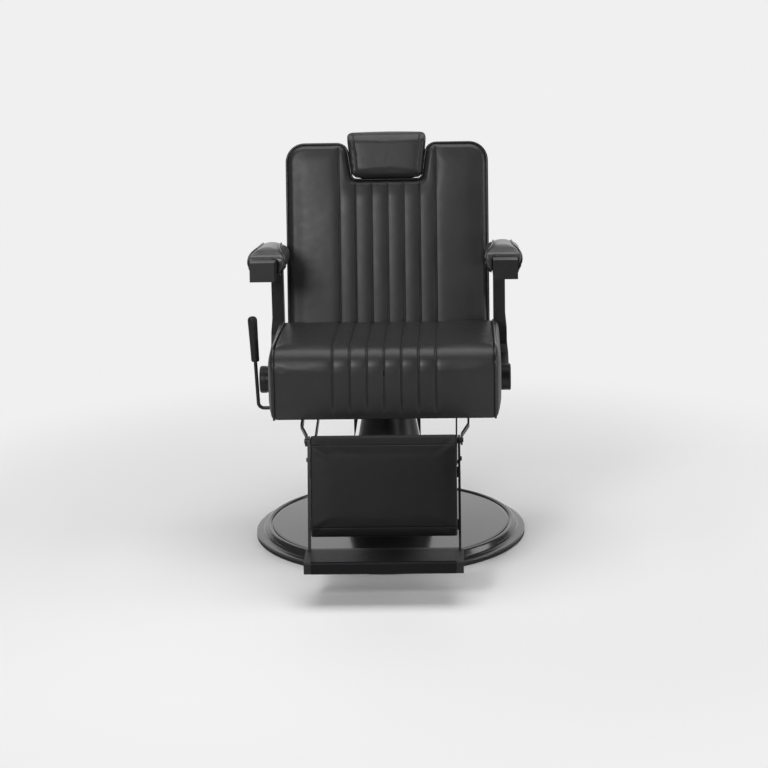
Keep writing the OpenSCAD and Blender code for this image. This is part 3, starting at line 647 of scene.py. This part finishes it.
class StageSettings(bpy.types.PropertyGroup):
    """Camera, lamps and floor."""

    distance: FloatProperty(name="Camera distance", description="Horizontal distance of the camera",
                            default=6.0, unit="LENGTH")
    height: FloatProperty(name="Camera height", description="Height of the camera",
                          default=1.973651, unit="LENGTH")
    azimuth: FloatProperty(name="Azimuth", description="Turn of the camera round the chair",
                           default=math.radians(1.9), subtype="ANGLE")
    roll: FloatProperty(name="Roll", description="Tilt of the horizon",
                        default=math.radians(-1.15), subtype="ANGLE")
    lens: FloatProperty(name="Lens", description="Focal length in millimetres", default=112.691)
    aim_side: FloatProperty(name="Aim sideways", description="Sideways offset of the aim",
                            default=-0.0102, unit="LENGTH")
    aim_height: FloatProperty(name="Aim height", description="Height of the aim",
                              default=0.397191, unit="LENGTH")
    dome: FloatProperty(name="Dome light", description="Strength of the even light from all round",
                        default=0.055)
    key: FloatProperty(name="Overhead light", description="Power of the overhead softbox",
                       default=66.0, unit="POWER")
    wall: FloatProperty(name="Wall light", description="Brightness of the lit wall behind the chair",
                        default=0.88)
    left: FloatProperty(name="Left light", description="Power of the softbox at the left front",
                        default=31.0, unit="POWER")
    front: FloatProperty(name="Front light", description="Power of the low softbox at the right front",
                         default=15.0, unit="POWER")
    right: FloatProperty(name="Right light", description="Power of the softbox at the right",
                         default=26.0, unit="POWER")
    ground: FloatVectorProperty(name="Ground", description="Colour of the floor and the space behind",
                                default=(0.871, 0.871, 0.871), subtype="COLOR")


class CoverSettings(bpy.types.PropertyGroup):
    """Upholstery of the seat, backrest, headrest, armrests and leg rest."""

    colour: FloatVectorProperty(name="Cover colour", description="Colour of the leathercloth",
                                default=(0.028, 0.028, 0.0285), subtype="COLOR")
    gloss: FloatProperty(name="Cover roughness", description="Roughness of the leathercloth", default=0.40)
    seams: IntProperty(name="Seams", description="Sewn lines on the seat and on the backrest",
                       default=7, min=3, max=11)
    pitch: FloatProperty(name="Seam spacing", description="Distance between the sewn lines",
                         default=0.0425, unit="LENGTH")
    depth: FloatProperty(name="Seam depth", description="Depth of the sewn valleys",
                         default=0.0056, unit="LENGTH")
    welt: FloatProperty(name="Piping radius", description="Radius of the piping along the edges",
                        default=0.0031, unit="LENGTH")
    swell: FloatProperty(name="Swelling", description="Furthest that a cushion's cover bulges",
                         default=0.007, unit="LENGTH")


class MetalSettings(bpy.types.PropertyGroup):
    """Paint, plastic and bare metal."""

    frame_colour: FloatVectorProperty(name="Frame colour", description="Satin black paint of the frame",
                                      default=(0.014, 0.014, 0.0145), subtype="COLOR")
    base_colour: FloatVectorProperty(name="Base colour", description="Enamel of the base and column",
                                     default=(0.03, 0.03, 0.032), subtype="COLOR")
    base_gloss: FloatProperty(name="Base roughness", description="Roughness of the base enamel",
                              default=0.2)


class ChairSettings(bpy.types.PropertyGroup):
    """All settings of the chair."""

    stage: PointerProperty(type=StageSettings, name="Stage", description="Camera, lamps and floor")
    cover: PointerProperty(type=CoverSettings, name="Upholstery", description="Covers, seams and piping")
    metal: PointerProperty(type=MetalSettings, name="Metal", description="Paint and bare metal")


def settings():
    return bpy.context.scene.barber_chair


def finish_of(name):
    """The material of one finish, made when first asked for."""
    found = bpy.data.materials.get(name)
    if found:
        return found
    cover, metal = settings().cover, settings().metal
    recipes = {
        "seat_leathercloth": (leathercloth, cover.colour, cover.gloss),
        # The leg rest pad's cover: the seat's leathercloth painted darker, as painted shade for the seat's
        # shadow over the pad
        "calf_leathercloth": (leathercloth, shade(cover.colour, 0.3), cover.gloss + 0.08, 1.0, 0.18),
        # The armrest pads' cover: the seat's leathercloth painted lighter, as painted light from above and
        # in front
        "arm_leathercloth": (leathercloth, shade(cover.colour, 1.9), cover.gloss - 0.1, 1.0, 0.5),
        # The piping: the seat's leathercloth painted darker, as painted shade in the creases beside the
        # welts
        "piping_leathercloth": (leathercloth, shade(cover.colour, 0.35), cover.gloss - 0.1, 0.6, 0.5),
        "satin_black_paint": (enamel, metal.frame_colour, 0.36, 0.2, 0.0, 0.35),
        "base_enamel_gloss": (enamel, metal.base_colour, metal.base_gloss, 0.06, 0.3),
        "box_paint": (enamel, metal.frame_colour, 0.5, 0.1, 0.0, 0.5),
        "black_rubber": (moulded_plastic, (0.018, 0.018, 0.018), 0.7),
        "black_moulding": (moulded_plastic, (0.012, 0.012, 0.0125), 0.45),
        "turned_steel": (machined_metal, (0.42, 0.42, 0.44), 0.32),
        "black_bolt": (machined_metal, (0.07, 0.07, 0.075), 0.4),
        "ram_chrome": (machined_metal, (0.75, 0.75, 0.77), 0.1, (40, 40, 400)),
        "anodised_tread": (worn_highlit_tread, (0.06, 0.06, 0.064), 0.108),
        "pump_iron": (cast_iron, (0.1, 0.1, 0.105)),
        "board_plywood": (plywood, (0.5, 0.36, 0.22)),
        "stained_board": (plywood, (0.016, 0.0155, 0.015)),
    }
    make, *looks = recipes[name]
    return make(name, *looks)


# ------------------------------------------------------------------ operators


class CHAIR_OT_stage(bpy.types.Operator):
    """Set up the camera, the lamps, the floor and the space behind"""

    bl_idname = "chair.stage"
    bl_label = "Stage"

    def execute(self, context):
        stage = settings().stage
        scene = context.scene
        scene.view_settings.view_transform = "Standard"
        self.camera(scene, stage)
        self.world(scene, stage)
        self.floor(stage)
        self.softbox("overhead", (0.0, 0.1, 3.0), (0, 0.1, 0.0), (3.2, 2.0), stage.key)
        self.softbox("left_front", (-0.85, -2.45, 1.6), (-0.1, 0, 0.85), (0.6, 0.6), stage.left)
        self.softbox("right_front", (2.4, -3.4, 0.75), (0, 0, 0.65), (1.0, 0.9), stage.front)
        self.softbox("right_side", (3.2, -0.2, 1.1), (0, 0, 0.6), (1.2, 2.0), stage.right)
        wide, high = 9.0, 4.6
        # A diffuse lamp of this power is as bright as the setting says, seen from any side
        power = stage.wall * math.pi * wide * high
        self.softbox("lit_wall", (0.0, 4.5, 2.35), (0, 0, 2.35), (wide, high), power)
        return {"FINISHED"}

    def camera(self, scene, stage):
        """Stands the camera at its distance and height, turned round the chair and rolled."""
        data = bpy.data.cameras.new("camera")
        data.lens = stage.lens
        data.sensor_width = 36.0
        data.clip_end = 60
        camera = new_object("camera", data)
        turn = stage.azimuth
        eye = Vector((stage.distance * math.sin(turn), -stage.distance * math.cos(turn), stage.height))
        aim = Vector((stage.aim_side * math.cos(turn), stage.aim_side * math.sin(turn), stage.aim_height))
        look = (aim - eye).normalized()
        right = look.cross(Vector((0, 0, 1))).normalized()
        up = right.cross(look)
        roll = stage.roll
        across = right * math.cos(roll) + up * math.sin(roll)
        upward = up * math.cos(roll) - right * math.sin(roll)
        axes = Matrix((across, upward, -look)).transposed().to_4x4()
        camera.matrix_world = Matrix.Translation(eye) @ axes
        scene.camera = camera

    def world(self, scene, stage):
        """Even light from all round; the camera sees the ground's colour in its place."""
        world = scene.world or bpy.data.worlds.new("world")
        scene.world = world
        n = Nodes(world)
        path = n.add("LightPath")
        seen = Value(n, path.outputs["Is Camera Ray"])
        ground = tuple(stage.ground) + (1.0,)
        lit = n.add("Background", None, {"Color": (1, 1, 1, 1), "Strength": stage.dome})
        shown = n.add("Background", None, {"Color": ground, "Strength": 1.0})
        n.finish("OutputWorld", n.mixed(seen, lit, shown))

    def floor(self, stage):
        """A floor that takes the chair's shadow and fades into the space behind."""
        material, n = new_material("studio_floor")
        ground = tuple(stage.ground) + (1.0,)
        paint = n.add("BsdfPrincipled", None,
                      {"Base Color": ground, "Roughness": 0.55, "Specular IOR Level": 0.2})
        glow = n.add("Emission", None, {"Color": ground, "Strength": 1.0})
        path = n.add("LightPath")
        direct, through = (Value(n, path.outputs[ray]) for ray in ("Is Camera Ray", "Is Transmission Ray"))
        away = n.value("VectorMath", {"operation": "LENGTH"}, {0: n.place()}, output=1)
        far = n.value("MapRange", {"interpolation_type": "SMOOTHSTEP"},
                      {"Value": away, "From Min": 0.75, "From Max": 1.7})
        n.finish("OutputMaterial", n.mixed(direct.largest(through) * far, paint, glow))
        bm = bmesh.new()
        bmesh.ops.create_grid(bm, x_segments=2, y_segments=2, size=30.0)
        floor = new_object("floor", new_mesh("floor", bm, material))

    def softbox(self, name, place, aim, size, power):
        """A rectangular lamp aimed at a point."""
        data = bpy.data.lights.new(name, "AREA")
        data.shape = "RECTANGLE"
        data.size, data.size_y = size
        data.energy = power
        lamp = new_object(name, data)
        look = (Vector(aim) - Vector(place)).to_track_quat("-Z", "Y")
        lamp.matrix_world = Matrix.Translation(place) @ look.to_matrix().to_4x4()
        lamp.visible_camera = False


class CHAIR_OT_finishes(bpy.types.Operator):
    """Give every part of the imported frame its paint, metal, rubber or wood"""

    bl_idname = "chair.finishes"
    bl_label = "Frame finishes"

    by_slot = {
        "rubber": "black_rubber",
        "base_enamel": "base_enamel_gloss",
        "black_frame": "satin_black_paint",
        "cast_pump": "pump_iron",
        "steel": "turned_steel",
        "chrome": "ram_chrome",
        "board": "board_plywood",
        "upholstery": "seat_leathercloth",
        "black_box": "box_paint",
        "black_trim": "black_moulding",
        "ribbed_alloy": "anodised_tread",
    }
    by_node = {
        "hub_caps": "black_moulding",
        "hub_bolts": "black_bolt",
        "leg_pins": "black_bolt",
        "pivot_shaft": "satin_black_paint",
        "hinge_pins": "black_bolt",
        "crank_pins": "black_bolt",
        "top_plate_bolts": "black_bolt",
        "back_board": "stained_board",
        "calf_board": "stained_board",
        "column_skirt": "satin_black_paint",
    }

    def execute(self, context):
        slots = {part["node"]: part["material_slot"] for part in frame["record"]["subparts"]}
        for node, piece in frame["nodes"].items():
            material = finish_of(self.by_node.get(node, self.by_slot[slots[node]]))
            piece.data.materials.clear()
            piece.data.materials.append(material)
        return {"FINISHED"}


def seam_planes(cover, spread=1.0):
    """The upright planes of the sewn lines, in even steps about the middle."""
    middle = (cover.seams - 1) / 2
    return [(((i - middle) * (cover.pitch * spread), 0, 0), (1, 0, 0)) for i in range(cover.seams)]


class CHAIR_OT_seat_cushion(bpy.types.Operator):
    """Upholster the seat: stuffed cushion with a rolled front, sewn lines and side piping"""

    bl_idname = "chair.seat_cushion"
    bl_label = "Seat cushion"

    def execute(self, context):
        cover = settings().cover
        skin = finish_of("seat_leathercloth")
        seat = finish_piece(node_copy("seat_cushion"), "seat_cover", "seat", skin)
        plump(seat, voxel=6 * MM, pressure=2.0, cap=cover.swell * 0.16,
              facing=lambda n: (n[:, 1] < -0.3) | (n[:, 2] > 0.3),
              border=18 * MM, crown=1 * MM, fillet=3 * MM)
        sew(seat, seam_planes(cover), self.sewn, cover.depth)
        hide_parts("seat_cushion")
        for side, name in ((-1, "seat_piping_left"), (1, "seat_piping_right")):
            line = [(side * SEAT_HALF, y, z) for y, z in seat_side_line()]
            pipe(name, even(line, 7 * MM), cover.welt, False, "seat")
        return {"FINISHED"}

    @staticmethod
    def sewn(places, out):
        """The top and the front, down to just above the foot of the front."""
        foot, fade = 0.384, 0.045
        upper = ease((np.maximum(-out[:, 1], out[:, 2]) - 0.2) / 0.4)
        return ease((places[:, 2] - foot) / fade) * upper


class CHAIR_OT_seat_sides(bpy.types.Operator):
    """Upholster the bulging side panels of the seat"""

    bl_idname = "chair.seat_sides"
    bl_label = "Seat side panels"

    def execute(self, context):
        cover = settings().cover
        for side, name in ((-1, "seat_side_left"), (1, "seat_side_right")):
            bm = keep_side(node_copy("seat_sides"), side)
            panel = finish_piece(bm, name, "seat", finish_of("seat_leathercloth"))
            plump(panel, voxel=4 * MM, pressure=2.5, cap=cover.swell * 0.4,
                  facing=lambda n, s=side: n[:, 0] * s > 0.15, border=26 * MM, frames=12)
            panel.data.shade_smooth()
            if side > 0:
                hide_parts("seat_sides")
        return {"FINISHED"}


def pipe_back(name, depth, inset, radius):
    """Piping round the backrest's outline, at a depth behind its front."""
    outline = [BACK @ Vector((x, depth, z)) for x, z in back_line(inset)]
    pipe(name, even(outline, 7 * MM, True), radius, True, "backrest")


class CHAIR_OT_back_cushion(bpy.types.Operator):
    """Upholster the backrest: notched cushion with sewn lines and piping round its edge"""

    bl_idname = "chair.back_cushion"
    bl_label = "Backrest cushion"

    def execute(self, context):
        cover = settings().cover
        skin = finish_of("seat_leathercloth")
        back = finish_piece(node_copy("back_cushion"), "back_cover_front", "backrest", skin)
        plump(back, voxel=6.2 * MM, pressure=3.0, cap=cover.swell * 0.7,
              facing=lambda n: n[:, 1] < -0.55, border=40 * MM, crown=2 * MM)
        roll_edge(back, BACK, back_line(), 16 * MM, 50 * MM)
        sew(back, seam_planes(cover, 0.99), self.sewn, cover.depth)
        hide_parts("back_cushion")
        for name, depth, inset in (("back_piping_front", 13.5 * MM, -1.8 * MM),
                                   ("back_piping_rear", 49 * MM, -0.5 * MM)):
            pipe_back(name, depth, inset, cover.welt)
        return {"FINISHED"}

    @staticmethod
    def sewn(places, out):
        """The front, up to its top edge."""
        fade = 0.012
        height = seen_from(BACK, places)[:, 2]
        return ease((-out[:, 1] - 0.4) / 0.3) * ease((BACK_TOP - height) / fade)


class CHAIR_OT_rear_cover(bpy.types.Operator):
    """Close the rear of the backrest with a crowned, upholstered shell"""

    bl_idname = "chair.rear_cover"
    bl_label = "Backrest rear cover"

    foot = 62.2 * MM
    wall = 14 * MM
    thick = 4 * MM
    # How far in and how far behind the foot each ring of the shell lies
    profile = ((3 * MM, 0.0), (3 * MM, wall), (4.2 * MM, 16.5 * MM), (7.5 * MM, 19 * MM),
               (14 * MM, 21.2 * MM), (23 * MM, 22.8 * MM), (34 * MM, 23.7 * MM))

    def execute(self, context):
        cover = settings().cover
        bm = bmesh.new()
        rings = []
        for inset, depth in self.profile:
            ring = [bm.verts.new((x, self.foot + depth, z)) for x, z in back_line(inset)]
            rings.append([bm.edges.new((a, b)) for a, b in zip(ring, ring[1:] + ring[:1])])
        for outer, inner in zip(rings, rings[1:]):
            bmesh.ops.bridge_loops(bm, edges=outer + inner)
        bmesh.ops.contextual_create(bm, geom=rings[-1])
        self.cut_slots(bm)
        bmesh.ops.recalc_face_normals(bm, faces=bm.faces)
        middle = max(bm.faces, key=lambda f: f.calc_area())
        if middle.normal.y < 0:
            bmesh.ops.reverse_faces(bm, faces=bm.faces)
        bmesh.ops.transform(bm, matrix=BACK, verts=bm.verts)
        shell = finish_piece(bm, "back_cover_rear", "backrest", finish_of("seat_leathercloth"))
        solid = shell.modifiers.new("Board and cloth", "SOLIDIFY")
        solid.thickness = self.thick
        solid.offset = -1.0
        bake_modifiers(shell)
        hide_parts("back_cover")
        pipe_back("back_piping_cover", self.foot + self.wall + 1.2 * MM, 3.8 * MM, cover.welt * 0.8)
        return {"FINISHED"}

    def cut_slots(self, bm):
        """Opens the shell where the headrest's stem and the frame's two sides pass through it."""
        # Each slot's left, right, foot and head in the backrest's own plane
        stem = (-0.026, 0.026, 0.32, 0.46)
        sides = [(x - 0.016, x + 0.016, -0.08, -0.032) for x in (-0.184, 0.184)]
        for left, right, low, high in [stem] + sides:
            cuts = [((x, 0, 0), (1, 0, 0)) for x in (left, right)]
            cuts += [((0, 0, z), (0, 0, 1)) for z in (low, high)]
            for point, normal in cuts:
                near = {f for f in bm.faces if any(left - 0.1 < v.co.x < right + 0.1 for v in f.verts)}
                edges = {edge for face in near for edge in face.edges}
                verts = {vert for face in near for vert in face.verts}
                bmesh.ops.bisect_plane(bm, geom=list(near | edges | verts), dist=1e-5,
                                       plane_co=point, plane_no=normal)
            inside = []
            for face in bm.faces:
                middle = face.calc_center_median()
                reached = high < 0 or middle.y < self.foot + self.wall
                if left < middle.x < right and low < middle.z < high and reached:
                    inside.append(face)
            bmesh.ops.delete(bm, geom=inside, context="FACES")


class CHAIR_OT_head_cushion(bpy.types.Operator):
    """Upholster the headrest: a rounded pad with a sewn front panel"""

    bl_idname = "chair.head_cushion"
    bl_label = "Headrest cushion"

    def execute(self, context):
        cover = settings().cover
        skin = finish_of("seat_leathercloth")
        head = finish_piece(node_copy("head_cushion"), "headrest_cover", "headrest", skin)
        plump(head, voxel=4 * MM, pressure=3.0, cap=cover.swell * 0.3,
              facing=lambda n: n[:, 1] < 0.6, border=16 * MM, crown=1 * MM)
        top_width, foot_width, height = 0.2030, 0.1800, 0.117
        slant = math.atan2(top_width - foot_width, 2 * height)
        planes = []
        for side in (-1, 1):
            foot = BACK @ Vector((side * 0.0765, 0, 0.378))
            normal = BACK.to_3x3() @ Vector((side * math.cos(slant), 0, -math.sin(slant)))
            planes.append((foot, normal))
        sew(head, planes, lambda places, out: ease(-out[:, 1] / 0.3), cover.depth * 0.6)
        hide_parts("head_cushion")
        return {"FINISHED"}


class CHAIR_OT_arm_pads(bpy.types.Operator):
    """Upholster the domed armrest pads and pipe their lower edges"""

    bl_idname = "chair.arm_pads"
    bl_label = "Armrest pads"

    # The piping's way forward along the dome, from the pad's middle
    shoulder = ((0.024, 0.31, 0.026), (0.026, 0.24, 0.026), (0.030, 0.17, 0.022), (0.036, 0.125, 0.012))
    # And down the front and back along the lower edge, from the pad's side
    hem = ((0.0, 0.100, -0.004), (0.002, 0.096, -0.02), (-0.003, 0.100, -0.036),
           (-0.006, 0.112, -0.0425), (-0.006, 0.2, -0.0425), (-0.006, 0.31, -0.0425))

    def execute(self, context):
        cover = settings().cover
        # The pads' cover is painted lighter than the seat's, as painted light
        skin = finish_of("arm_leathercloth")
        for side, word in ((-1, "left"), (1, "right")):
            pad = finish_piece(node_copy("arm_pad_" + word), "arm_cover_" + word, "seat", skin)
            plump(pad, voxel=4 * MM, pressure=2.5, cap=cover.swell * 0.5,
                  facing=lambda n: (n[:, 2] > 0.1) | (n[:, 1] < -0.5), border=20 * MM, crown=0.8 * MM)
            pad.data.shade_smooth()
            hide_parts("arm_pad_" + word)
            for edge, where, wide in ((-1, "in", 0.041), (1, "out", 0.039)):
                path = self.shoulder + tuple((wide + x, y, z) for x, y, z in self.hem)
                path = [ARM @ Vector((side * (ARM_MIDDLE + edge * x), y, z)) for x, y, z in path]
                path = lay_on(pad, even(path, 5 * MM), cover.welt * 0.45)
                pipe("arm_piping_%s_%s" % (word, where), path, cover.welt * 0.75, False, "seat")
        return {"FINISHED"}


class CHAIR_OT_calf_pad(bpy.types.Operator):
    """Upholster the leg rest pad with its folded top and bottom borders"""

    bl_idname = "chair.calf_pad"
    bl_label = "Leg rest pad"

    def execute(self, context):
        cover = settings().cover
        # The pad's cover is painted darker than the seat's, as painted shade under the seat
        skin = finish_of("calf_leathercloth")
        pad = finish_piece(node_copy("calf_cushion"), "calf_cover", "legrest", skin)
        plump(pad, voxel=4.5 * MM, pressure=2.5, cap=cover.swell * 0.5,
              facing=lambda n: n[:, 1] < -0.3, border=30 * MM, crown=1 * MM, fillet=7 * MM)
        folds = (-0.0115, -0.2115)
        upright = LEG.to_3x3() @ Vector((0, 0, 1))
        planes = [(LEG @ Vector((0, 0, height)), upright) for height in folds]
        sew(pad, planes, lambda places, out: ease((-out[:, 1] - 0.2) / 0.3), cover.depth * 0.45)
        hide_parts("calf_cushion")
        return {"FINISHED"}


OPERATORS = (
    CHAIR_OT_stage,
    CHAIR_OT_finishes,
    CHAIR_OT_seat_cushion,
    CHAIR_OT_seat_sides,
    CHAIR_OT_back_cushion,
    CHAIR_OT_rear_cover,
    CHAIR_OT_head_cushion,
    CHAIR_OT_arm_pads,
    CHAIR_OT_calf_pad,
)


class CHAIR_PT_builder(bpy.types.Panel):
    """Lists the chair's settings and its building steps"""

    bl_idname = "CHAIR_PT_builder"
    bl_label = "Barber chair"
    bl_space_type = "VIEW_3D"
    bl_region_type = "UI"
    bl_category = "Barber chair"

    def draw(self, context):
        chair = settings()
        for group in (chair.stage, chair.cover, chair.metal):
            box = self.layout.box()
            for name in group.bl_rna.properties.keys():
                if name not in ("rna_type", "name"):
                    box.prop(group, name)
        for step in OPERATORS:
            self.layout.operator(step.bl_idname)


CLASSES = (StageSettings, CoverSettings, MetalSettings, ChairSettings) + OPERATORS + (CHAIR_PT_builder,)


def register():
    for cls in CLASSES:
        bpy.utils.register_class(cls)
    bpy.types.Scene.barber_chair = PointerProperty(type=ChairSettings, name="Barber chair",
                                                   description="Settings of the barber chair")


def unregister():
    del bpy.types.Scene.barber_chair
    for cls in reversed(CLASSES):
        bpy.utils.unregister_class(cls)


def main():
    register()
    for step in OPERATORS:
        group, name = step.bl_idname.split(".")
        getattr(getattr(bpy.ops, group), name)()


if __name__ == "__main__":
    main()
